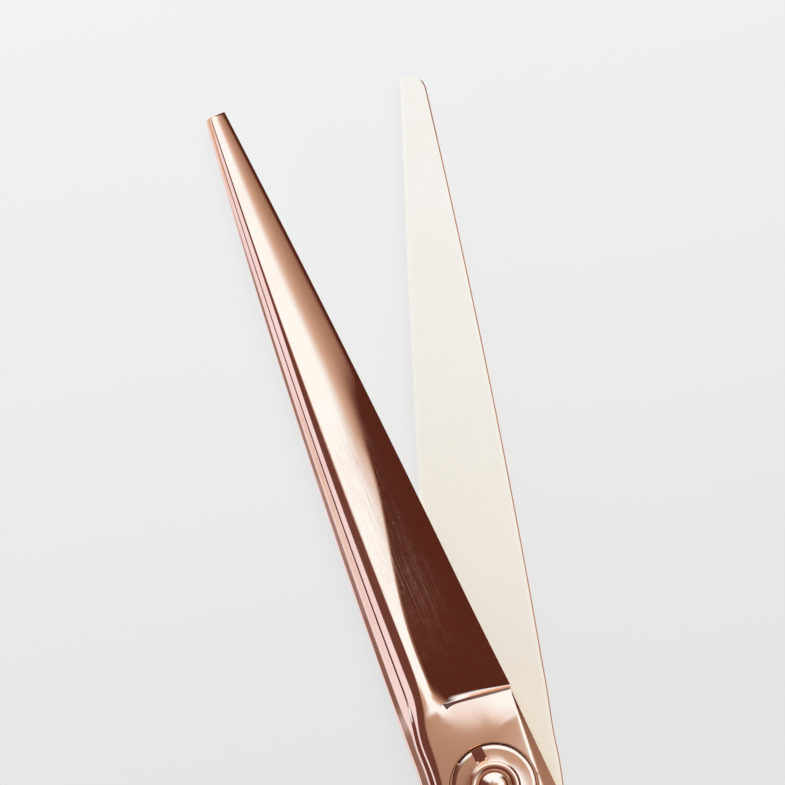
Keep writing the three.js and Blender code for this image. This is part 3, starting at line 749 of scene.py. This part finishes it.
def wave_spring():
    """A thin washer with three waves."""
    section = ((2.2, -0.08), (3.95, -0.08), (3.95, 0.08), (2.2, 0.08))
    middle, swing, waves, steps = 5.62, 0.13, 3, 180
    rows = []
    for i in range(steps):
        a = 2 * math.pi * i / steps
        z = middle + swing * math.cos(waves * a)
        rows.append([(r * math.cos(a), r * math.sin(a), z + lift) for r, lift in section])
    return new_object("wave_spring", skin(rows, closed=True))


def click_washer():
    """The washer under the dial: keyed to the bolt's flats, with two pips."""
    profile = [(0, 5.9), (4.15, 5.9), (4.2, 5.95), (4.2, 6.07), (4.15, 6.12), (0, 6.12)]
    pip = [(0, 6.05), (0.35, 6.05), (0.33, 6.12), (0.24, 6.2), (0.12, 6.25), (0, 6.26)]
    washer = turned("click_washer", profile)
    keyed = hole("keyed_bore", SHAFT_R + CLEARANCE, 5, 7)
    for side in (-1, 1):
        near, far = sorted((side * (SHAFT_END_R + CLEARANCE), side * 4))
        boolean(keyed, new_object("flat", box_mesh((near, -4, 4), (far, 4, 8))))
    boolean(washer, keyed)
    for side in (-1, 1):
        at = ROW @ Matrix.Translation((3.2 * side, 0, 0))
        boolean(washer, turned("pip", pip, at, 32), "UNION")
    return washer


def pivot_bush():
    outline = [(2.08, 4.46), (2.62, 4.46), (2.62, 4.97), (3.9, 4.97), (3.9, 5.32), (2.08, 5.32)]
    return turned("pivot_bush", rounded(outline, 0.06, 2))


def race(name, low):
    """A flat race of the bearing."""
    inner, outer, thickness = 2.35, 4.7, 0.25
    return ring_piece(name, inner, outer, low, low + thickness)


def ball_place(i):
    """Place of a ball's middle in plan."""
    a = 2 * math.pi * i / BALLS
    return BALL_PITCH * math.cos(a), BALL_PITCH * math.sin(a)


def ball_cage():
    cage = ring_piece("ball_cage", 2.5, 4.6, 3.3, 3.8)
    pocket = [(0, 3), (0.58, 3), (0.58, 4.2), (0, 4.2)]
    for i in range(BALLS):
        at = ROW @ Matrix.Translation((*ball_place(i), 0))
        boolean(cage, turned("pocket", pocket, at, 32))
    return cage


def bearing_ball(i):
    bm = bmesh.new()
    bmesh.ops.create_uvsphere(bm, u_segments=40, v_segments=24, radius=BALL_R)
    bmesh.ops.translate(bm, vec=(*ball_place(i), BALL_PLANE), verts=bm.verts)
    return new_object(f"bearing_ball_{i + 1}", bm)


# ------------------------------------------------------------------ fittings on the handles
def ring_insert(half):
    """Soft insert of a bow, with a rib that sits in the bow's groove."""
    outline = [(-1.22, -2.45), (-0.12, -2.45), (-0.12, -0.83), (0.43, -0.83),
               (0.43, 0.83), (-0.12, 0.83), (-0.12, 2.45), (-1.22, 2.45)]
    section = rounded(outline, 0.42, 5, keep=(2, 5))
    bm = ellipse_sweep(half["ring"], half["inner"], half["ring_h"], section, 144)
    return new_object(half["name"] + "_ring_insert", bm, row_matrix(half))


def rest_stations():
    """Shares of the rest's bend, each with a squeeze of its radius: collar, shaft and rounded nose."""
    collar = [(0.0, 0.93), (0.006, 1.0)]
    shaft = [(s / 24, 1.0) for s in range(1, 25)]
    nose = [(1 + 0.1 * math.sin(math.radians(a)), math.cos(math.radians(a))) for a in range(12, 90, 11)]
    return collar + shaft + nose + [(1.1, 0.05)]


def finger_rest():
    """A tapering round hook on a stud."""
    x, y, h = rest_seat()
    heading, sweep, root, bend = math.radians(REST_ANGLE), math.radians(85), 1.4, 13
    thick, thin, sides = 2.4, 1.55, 40
    rows = []
    for share, squeeze in rest_stations():
        turn = heading + sweep * share
        centre = Vector((x + root * math.cos(heading) + bend * (math.sin(turn) - math.sin(heading)),
                         y + root * math.sin(heading) - bend * (math.cos(turn) - math.cos(heading)), h))
        across = Vector((-math.sin(turn), math.cos(turn), 0))
        r = lerp(thick, thin, smooth(0, 1, min(1, share))) * squeeze
        rows.append([centre + across * r * math.cos(a) + Vector((0, 0, r * math.sin(a)))
                     for a in (2 * math.pi * n / sides for n in range(sides))])
    rest = new_object("finger_rest", skin(rows), row_matrix(FINGER))
    profile = [(0, -1.85), (1.1, -1.85), (1.2, -1.7), (1.2, 2.1), (0, 2.1)]
    boolean(rest, turned("stud", profile, laid(rest_seat(), REST_ANGLE, FINGER), 48), "UNION")
    return rest


def bumper_ferrule():
    stem = [(0, -3.25), (1.0, -3.25), (1.07, -3.15), (1.07, -1.38)]
    flange = [(1.82, -1.38), (1.9, -1.3), (1.9, -0.98), (1.82, -0.9)]
    profile = stem + flange + [(0.75, -0.9), (0.75, -0.5), (0, -0.5)]
    return turned("bumper_ferrule", profile, laid(BUMPER_AT, 180, FINGER), 64)


def bumper_pad():
    side = [(0.85, -0.85), (1.84, -0.85), (1.9, -0.78), (1.9, 0.55)]
    crown = [(1.86, 0.75), (1.72, 0.98), (1.45, 1.15), (1.0, 1.25), (0.5, 1.29), (0, 1.3)]
    profile = side + crown + [(0, -0.35), (0.85, -0.35)]
    return turned("bumper_pad", profile, laid(BUMPER_AT, 180, FINGER), 64)


# ------------------------------------------------------------------ node materials
class Nodes:
    """A small hand for wiring node trees."""

    def __init__(self, tree):
        self.tree = tree
        tree.nodes.clear()

    def add(self, kind, inputs=None, **settings):
        node = self.tree.nodes.new(kind)
        for key, value in settings.items():
            setattr(node, key, value)
        for key, value in (inputs or {}).items():
            self.feed(node.inputs[key], value)
        return node

    def feed(self, socket, value):
        if isinstance(value, bpy.types.NodeSocket):
            self.tree.links.new(value, socket)
        elif hasattr(socket.default_value, "__len__") and not hasattr(value, "__len__"):
            socket.default_value = [value] * len(socket.default_value)
        else:
            socket.default_value = value

    def math(self, operation, *values, clamp=False):
        node = self.add("ShaderNodeMath", operation=operation, use_clamp=clamp)
        for socket, value in zip(node.inputs, values):
            self.feed(socket, value)
        return node.outputs[0]

    def span(self, value, low, high, out_low, out_high, kind="LINEAR"):
        return self.add("ShaderNodeMapRange", {0: value, 1: low, 2: high, 3: out_low, 4: out_high},
                        interpolation_type=kind).outputs[0]

    def mix(self, amount, one, two):
        node = self.add("ShaderNodeMix", data_type="RGBA")
        self.feed(node.inputs[0], amount)
        self.feed(node.inputs[6], one)
        self.feed(node.inputs[7], two)
        return node.outputs[2]

    def ramp(self, amount, stops):
        node = self.add("ShaderNodeValToRGB", {0: amount})
        elements = node.color_ramp.elements
        while len(elements) > 1:
            elements.remove(elements[-1])
        for i, (place, colour) in enumerate(stops):
            element = elements[0] if i == 0 else elements.new(place)
            element.position = place
            element.color = (*colour, 1)
        return node.outputs[0]

    def noise(self, vector, scale, detail=2.0, rough=0.5):
        return self.add("ShaderNodeTexNoise", {"Vector": vector, "Scale": scale, "Detail": detail,
                                               "Roughness": rough}).outputs[0]

    def millimetres(self, turn=0.0, stretch=(1, 1, 1)):
        """Object coordinates in millimetres, turned about Z, then stretched."""
        where = self.add("ShaderNodeTexCoord").outputs["Object"]
        facing = {"Vector": where, "Rotation": (0, 0, turn), "Scale": 1 / MM}
        turned_to = self.add("ShaderNodeMapping", facing)
        return self.add("ShaderNodeMapping", {"Vector": turned_to.outputs[0], "Scale": stretch}).outputs[0]

    def bump(self, height, strength, distance_mm):
        inputs = {"Strength": strength, "Distance": distance_mm * MM, "Height": height}
        return self.add("ShaderNodeBump", inputs).outputs[0]


def new_material(name):
    material = bpy.data.materials.new(name)
    material.use_nodes = True
    return material, Nodes(material.node_tree)


def finish_material(nodes, **inputs):
    named = {key.replace("_", " "): value for key, value in inputs.items()}
    shader = nodes.add("ShaderNodeBsdfPrincipled", named)
    nodes.add("ShaderNodeOutputMaterial", {"Surface": shader.outputs[0]})


GOLD_LIGHT = (0.96, 0.575, 0.395, 1)
GOLD_DEEP = (0.94, 0.545, 0.365, 1)


def polished_gold(name, turn=0.0, stretch=(9, 0.35, 9), rubbed=0.0):
    """Mirror-polished rose gold: polishing lines, haze, faint smudges and a rubbed, scratched flank."""
    material, n = new_material(name)
    even = n.millimetres(turn)
    lines = n.noise(n.millimetres(turn, stretch), 1.0, 4.0, 0.6)
    scratches = n.noise(n.millimetres(turn, (15, 0.12, 4)), 1.0, 3.0, 0.7)
    grit = n.noise(n.millimetres(turn, (9, 5, 9)), 1.0, 4.0, 0.7)
    patches = n.noise(even, 0.18, 3.0)
    smudges = n.noise(even, 1.1, 5.0, 0.65)
    colour = n.mix(n.span(patches, 0.35, 0.65, 0, 1), GOLD_LIGHT, GOLD_DEEP)
    place = n.add("ShaderNodeSeparateXYZ", {0: even}).outputs
    rub = n.math("MULTIPLY", n.span(place[0], 4.2, 0.6, 0.0, rubbed, "SMOOTHSTEP"),
                 n.span(place[1], 11.0, 24.0, 0.1, 1.0, "SMOOTHSTEP"))
    rub = n.math("MULTIPLY", rub, n.span(place[1], 46.0, 36.0, 0.0, 1.0, "SMOOTHSTEP"))
    wear = n.math("ADD", n.span(scratches, 0.5, 0.68, 0.0, 0.17), n.span(grit, 0.5, 0.7, 0.05, 0.15))
    haze = n.math("ADD", n.span(smudges, 0.45, 0.75, 0.05, 0.11), n.span(lines, 0.5, 0.8, 0.0, 0.05))
    rough = n.math("ADD", haze, n.math("MULTIPLY", wear, rub))
    worn = n.math("MULTIPLY", n.span(scratches, 0.54, 0.7, 0.0, 1.0), rub)
    relief = n.math("SUBTRACT", n.math("MULTIPLY", lines, 0.6), worn)
    finish_material(n, Base_Color=colour, Metallic=1.0, Roughness=rough, Normal=n.bump(relief, 0.4, 0.0016))
    return material


def satin_face(name, turn, rough=(0.36, 0.48), metallic=0.3, whiter=0.0):
    """The honed inner face: paler, with a close brushed grain; whiter makes the strip along the edge."""
    material, n = new_material(name)
    brush = n.noise(n.millimetres(turn, (1.1, 14, 6)), 1.0, 4.0, 0.6)
    cross = n.noise(n.millimetres(turn, (16, 0.6, 6)), 1.0, 3.0, 0.6)
    place = n.millimetres(turn)
    cloud = n.noise(place, 0.09, 3.0)
    grain = n.math("ADD", n.math("MULTIPLY", brush, 0.6), n.math("MULTIPLY", cross, 0.4))
    along_blade = n.add("ShaderNodeSeparateXYZ", {0: place}).outputs[1]
    warmth = n.math("ADD", n.span(along_blade, 60, 5, 0.0, 0.8), n.span(cloud, 0.3, 0.7, 0.0, 0.2))
    warmth = n.math("MULTIPLY", warmth, 1 - whiter)
    tint = n.mix(warmth, (1.0, 0.84, 0.68, 1), (0.97, 0.77, 0.56, 1))
    colour = n.mix(n.span(grain, 0.35, 0.65, 0, 0.12), tint, (0.82, 0.70, 0.57, 1))
    finish_material(n, Base_Color=colour, Metallic=metallic, Roughness=n.span(grain, 0.3, 0.7, *rough),
                    Normal=n.bump(grain, 0.4, 0.004))
    return material


def ground_metal(name, light, deep, rough):
    """Ground or cast metal with a fine even grain."""
    material, n = new_material(name)
    grain = n.noise(n.millimetres(0, (5, 5, 20)), 1.0, 4.0, 0.6)
    cloud = n.noise(n.millimetres(), 0.6, 3.0)
    colour = n.mix(cloud, (*light, 1), (*deep, 1))
    roughness = n.span(grain, 0.3, 0.7, rough, rough + 0.12)
    relief = n.bump(grain, 0.3, 0.003)
    finish_material(n, Base_Color=colour, Metallic=1.0, Roughness=roughness, Normal=relief)
    return material


def soft_plastic(name, light, deep, rough):
    """Moulded rubber or polymer with fine pores."""
    material, n = new_material(name)
    pores = n.noise(n.millimetres(), 6.0, 4.0, 0.6)
    cloud = n.noise(n.millimetres(), 0.25, 3.0)
    colour = n.mix(n.span(cloud, 0.35, 0.65, 0, 1), (*light, 1), (*deep, 1))
    finish_material(n, Base_Color=colour, Roughness=n.span(pores, 0.3, 0.7, rough, rough + 0.12),
                    Normal=n.bump(pores, 0.35, 0.02))
    return material


# ------------------------------------------------------------------ studio
WHITE, PALE, COOL = (1.06, 1.66, 2.25), (0.85, 0.85, 0.86), (0.98, 1.2, 1.68)
DARK, BROWN, UMBER = (0.095, 0.034, 0.025), (0.235, 0.16, 0.146), (0.16, 0.075, 0.07)
ZENITH = (0.52, 0.45, 0.41)
# Colours of the room from straight up to straight down, by degrees from the zenith.
BRIGHT_SIDE = [(0, ZENITH), (7, (0.6, 0.56, 0.54)), (12, WHITE), (25, WHITE), (30, (0.72, 0.7, 0.7)),
               (36, (0.42, 0.34, 0.3)), (39, BROWN), (43, DARK), (76, DARK), (84, (0.7, 0.68, 0.68)),
               (96, PALE), (180, PALE)]
FRONT_SIDE = [(0, ZENITH), (7, (0.58, 0.53, 0.51)), (11, (0.95, 1.2, 1.5)), (15, WHITE), (40, WHITE),
              (80, WHITE), (92, (0.9, 1.0, 1.1)), (98, PALE), (180, PALE)]
DARK_SIDE = [(0, ZENITH), (8, (0.4, 0.33, 0.3)), (16, UMBER), (58, UMBER), (64, (0.3, 0.25, 0.25)),
             (71, COOL), (95, COOL), (106, PALE), (180, PALE)]


def studio_world():
    """Soft studio room: a white patch overhead on one side, dark walls and a pale horizon."""
    world = bpy.data.worlds.new("studio")
    world.use_nodes = True
    bpy.context.scene.world = world
    n = Nodes(world.node_tree)
    direction = n.add("ShaderNodeTexCoord").outputs["Generated"]
    split = n.add("ShaderNodeSeparateXYZ", {0: direction})
    x, y, z = split.outputs
    polar = n.math("MULTIPLY", n.math("ARCCOSINE", n.math("MINIMUM", n.math("MAXIMUM", z, -1.0), 1.0)),
                   1 / math.pi)
    level = n.math("SQRT", n.math("ADD", n.math("MULTIPLY", x, x), n.math("MULTIPLY", y, y)))
    reach = n.math("MAXIMUM", level, 0.001)

    def towards(degrees, none, full):
        """How far a direction lies towards a compass heading, from 0 to 1."""
        a = math.radians(degrees)
        facing = n.math("ADD", n.math("MULTIPLY", x, math.cos(a)), n.math("MULTIPLY", y, math.sin(a)))
        return n.span(n.math("DIVIDE", facing, reach), none, full, 0.0, 1.0, "SMOOTHSTEP")

    sunny = towards(37, -0.45, 0.25)
    front = towards(85, 0.5, 0.8)
    window = towards(58, 0.8, 0.95)
    lowered = n.math("ADD", polar, n.math("MULTIPLY", window, 5 / 180))

    def side(height, table):
        return n.ramp(height, [(degrees / 180, colour) for degrees, colour in table])

    bright_side, front_side = side(lowered, BRIGHT_SIDE), side(lowered, FRONT_SIDE)
    dark_side = side(polar, DARK_SIDE)
    shade_of = n.mix(front, n.mix(sunny, dark_side, bright_side), front_side)
    background = n.add("ShaderNodeBackground", {"Color": shade_of, "Strength": 1.0})
    n.add("ShaderNodeOutputWorld", {"Surface": background.outputs[0]})


def studio_floor():
    """A pale floor that glows in place of being lit, with painted shade that grades it softly towards the far
    end.
    """
    bm = bmesh.new()
    bmesh.ops.create_grid(bm, x_segments=1, y_segments=1, size=4.0 / MM)
    floor = new_object("studio_floor", bm)
    floor.location.z = -0.02 * MM
    material, n = new_material("pale_floor")
    where = n.millimetres()
    split = n.add("ShaderNodeSeparateXYZ", {0: where})
    # Painted shade: the floor's glow grows brighter along Y, from 0.745 to 0.86.
    tone = n.span(split.outputs[1], 0, 90, 0.745, 0.86)
    grey = n.mix(tone, (0, 0, 0, 1), (1, 1, 1, 1))
    glow = n.add("ShaderNodeEmission", {"Color": grey, "Strength": 0.92})
    matt = n.add("ShaderNodeBsdfDiffuse", {"Color": (0.09, 0.086, 0.08, 1)})
    both = n.add("ShaderNodeAddShader", {0: glow.outputs[0], 1: matt.outputs[0]})
    n.add("ShaderNodeOutputMaterial", {"Surface": both.outputs[0]})
    floor.data.materials.append(material)
    return floor


def soft_light(name, place, size, power, colour):
    """A square soft box turned to the pivot, left out of reflections."""
    data = bpy.data.lights.new(name, "AREA")
    data.size, data.energy, data.color = size, power, colour
    light = bpy.data.objects.new(name, data)
    light.location = place
    light.visible_glossy = False
    light.rotation_euler = (-Vector(place)).to_track_quat("-Z", "Y").to_euler()
    bpy.context.scene.collection.objects.link(light)


# The camera looks straight down at a point of the piece, with a long lens.
VIEW_CENTRE, VIEW_WIDTH = (0.1, 41.07), 79.5
VIEW_TURN = math.radians(14.65)
FACE_HEIGHT = 5.0
LENS = 200


def square_on_camera():
    data = bpy.data.cameras.new("camera")
    data.lens = LENS
    data.clip_start, data.clip_end = 0.01, 20
    camera = bpy.data.objects.new("camera", data)
    distance = VIEW_WIDTH * LENS / data.sensor_width
    camera.location = Vector((*VIEW_CENTRE, FACE_HEIGHT + distance)) * MM
    camera.rotation_euler = (0, 0, -VIEW_TURN)
    bpy.context.scene.collection.objects.link(camera)
    bpy.context.scene.camera = camera


# ------------------------------------------------------------------ assembly
def put(obj, node, body, slot, *materials, smooth_angle=24):
    """Shades a piece, gives it its materials and hangs it on its body in place of its CAD node."""
    shade(obj, smooth_angle)
    slots = obj.data.materials
    for i, material in enumerate(materials):
        if i < len(slots):
            slots[i] = material
        else:
            slots.append(material)
    obj.name = "look_" + node
    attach(obj, body)
    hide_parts(node)


def build():
    thumb_gold = polished_gold("thumb_gold", -TURN, rubbed=1.0)
    finger_gold = polished_gold("finger_gold", TURN)
    # Painted shade: a rough, near-black metal for the plunge step's leaf faces, standing in for the shade in
    # that crevice.
    leaf_shade_paint = ground_metal("painted_leaf_shade", (0.17, 0.05, 0.034), (0.1, 0.034, 0.024), 0.34)
    plain_gold = polished_gold("fitting_gold", 0.0, (3, 3, 3))
    steel = ground_metal("steel", (0.62, 0.61, 0.6), (0.5, 0.49, 0.48), 0.16)
    bronze = ground_metal("bronze", (0.55, 0.36, 0.17), (0.42, 0.26, 0.11), 0.26)
    polymer = soft_plastic("bush_polymer", (0.82, 0.78, 0.7), (0.75, 0.7, 0.62), 0.42)
    rubber = soft_plastic("insert_rubber", (0.035, 0.03, 0.03), (0.022, 0.02, 0.02), 0.5)
    gold = "rose_gold_polished"
    put(thumb_blade(), "thumb_blade", "thumb_half", gold, thumb_gold, satin_face("thumb_satin", -TURN),
        satin_face("thumb_hone", -TURN, (0.3, 0.4), 0.3, 0.7), leaf_shade_paint)
    put(finger_blade(), "finger_blade", "finger_half", gold, finger_gold, satin_face("finger_satin", TURN),
        satin_face("finger_hone", TURN, (0.3, 0.4), 0.3, 0.7), leaf_shade_paint)
    put(tension_dial(), "tension_dial", "dial", gold, plain_gold)
    put(pivot_bolt(), "pivot_bolt", "finger_half", gold, plain_gold)
    put(finger_rest(), "finger_rest", "finger_half", gold, finger_gold)
    put(ring_insert(THUMB), "thumb_ring_insert", "thumb_half", "soft_insert", rubber)
    put(ring_insert(FINGER), "finger_ring_insert", "finger_half", "soft_insert", rubber)
    put(bumper_pad(), "bumper_pad", "finger_half", "soft_insert", rubber)
    put(bumper_ferrule(), "bumper_ferrule", "finger_half", "ground_steel", steel)
    put(pivot_bush(), "pivot_bush", "thumb_half", "low_friction_polymer", polymer)
    upper, lower = race("race_upper", 4.08), race("race_lower", 2.77)
    put(upper, "race_upper", "thumb_half", "ground_steel", steel)
    put(lower, "race_lower", "finger_half", "ground_steel", steel)
    put(wave_spring(), "wave_spring", "finger_half", "ground_steel", steel)
    put(click_washer(), "click_washer", "finger_half", "bronze", bronze)
    put(ball_cage(), "ball_cage", "bearing", "bronze", bronze)
    for i in range(BALLS):
        put(bearing_ball(i), f"bearing_ball_{i + 1}", "bearing", "ground_steel", steel)


build()
studio_world()
studio_floor()
square_on_camera()
soft_light("key", (0.2, 0.28, 1.0), 0.5, 6.0, (1.0, 0.93, 0.84))
bpy.context.scene.view_settings.view_transform = "Standard"
